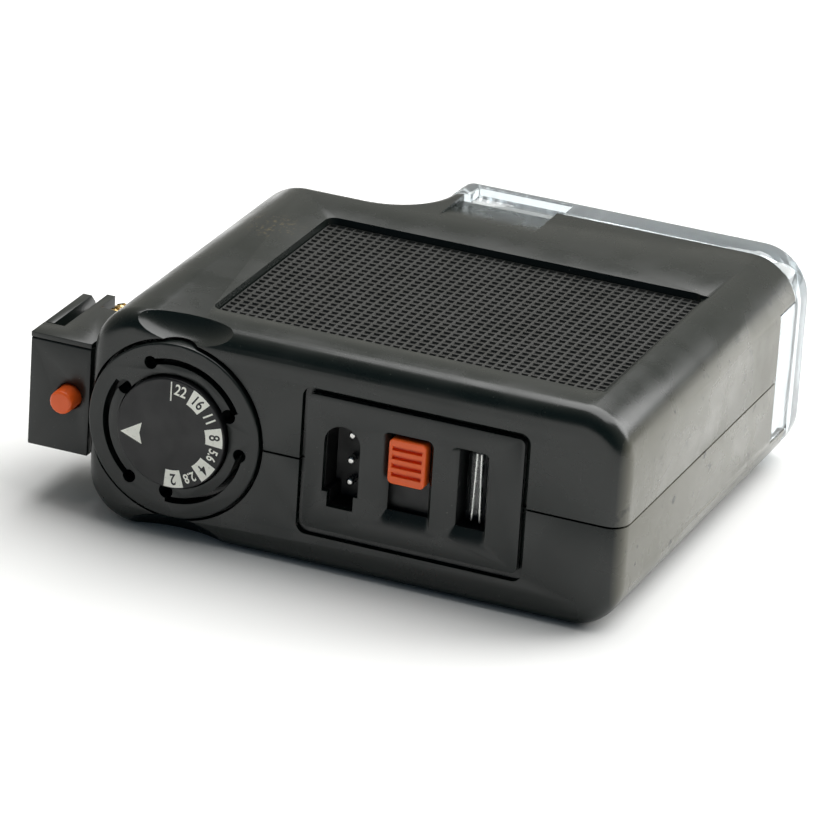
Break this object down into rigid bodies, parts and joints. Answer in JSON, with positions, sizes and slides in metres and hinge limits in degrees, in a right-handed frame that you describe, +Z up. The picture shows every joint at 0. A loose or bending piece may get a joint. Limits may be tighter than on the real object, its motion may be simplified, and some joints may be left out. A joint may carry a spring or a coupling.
{
  "type": "speedlight flash",
  "caption": "Compact black shoe-mount speedlight with a clear window, waffle grip, exposure dial, slide switch, lamp window and sync socket.",
  "frame": {"origin": "bottom centre of the bounding box, with the flash lying on its broad side", "axes": "+X from the shoe foot along the control face, +Y from the control face to the flash window, +Z up from the resting face"},
  "size_m": [0.0992, 0.0816, 0.0352],
  "materials": {
    "black_plastic": "moulded black ABS, softly glossy, worn along its edges",
    "dark_plastic": "satin black with white print",
    "grey_plastic": "dark grey moulding",
    "rubber_grip": "black waffle grip",
    "orange_plastic": "orange moulded plastic",
    "clear_plastic": "clear prismatic acrylic, milky at its edges",
    "polished_metal": "polished sheet",
    "steel": "bright zinc-plated steel",
    "brass": "plain brass",
    "glass": "clear glass",
    "board": "green laminate",
    "copper": "varnished copper winding",
    "cell_wrap": "printed plastic sleeve"
  },
  "bodies": {
    "body": {"upper_shell": "black_plastic", "lower_shell": "black_plastic", "control_panel": "black_plastic", "foot_housing": "black_plastic", "foot_cover": "black_plastic", "foot_rail": "black_plastic", "dial_disc": "dark_plastic", "socket_housing": "dark_plastic", "power_transistor": "dark_plastic", "switch_body": "grey_plastic", "lamp_holder": "grey_plastic", "grip_pad": "rubber_grip", "trigger_capacitor": "orange_plastic", "flash_window": "clear_plastic", "reflector": "polished_metal", "socket_pin_1": "steel", "socket_pin_2": "steel", "socket_pin_3": "steel", "lamp_electrode_1": "steel", "lamp_electrode_2": "steel", "dial_retainer": "steel", "foot_screw_1": "steel", "foot_screw_2": "steel", "test_button_spring": "steel", "tube_cap_1": "steel", "tube_cap_2": "steel", "case_screw_1": "steel", "case_screw_2": "steel", "case_screw_3": "steel", "case_screw_4": "steel", "battery_door_pin": "steel", "foot_spring": "brass", "battery_contact_1": "brass", "battery_contact_2": "brass", "battery_bridge": "brass", "ready_lamp": "glass", "flash_tube": "glass", "circuit_board": "board", "transformer": "copper", "trigger_coil": "copper", "main_capacitor": "cell_wrap", "battery_cell_1": "cell_wrap", "battery_cell_2": "cell_wrap"},
    "dial": {"dial_ring": "black_plastic"},
    "switch": {"power_knob": "orange_plastic"},
    "button": {"test_button": "orange_plastic"},
    "contact": {"shoe_contact": "brass"},
    "door": {"battery_door": "black_plastic"}
  },
  "joints": [
    {"name": "dial_turn", "type": "hinge", "parent": "body", "child": "dial", "pos_m": [-0.02335, -0.0392, 0.0176], "axis": [0, 1, 0], "continuous": true},
    {"name": "power_slide", "type": "slide", "parent": "body", "child": "switch", "axis": [0, 0, -1], "range_m": [0, 0.0046]},
    {"name": "test_press", "type": "slide", "parent": "body", "child": "button", "axis": [0, 1, 0], "range_m": [0, 0.0015], "stiffness_N_per_m": 300},
    {"name": "contact_press", "type": "slide", "parent": "body", "child": "contact", "axis": [1, 0, 0], "range_m": [0, 0.001], "stiffness_N_per_m": 500},
    {"name": "door_swing", "type": "hinge", "parent": "body", "child": "door", "pos_m": [0.04115, -0.0162, 0.0011], "axis": [0, -1, 0], "range_deg": [0, 100]}
  ]
}
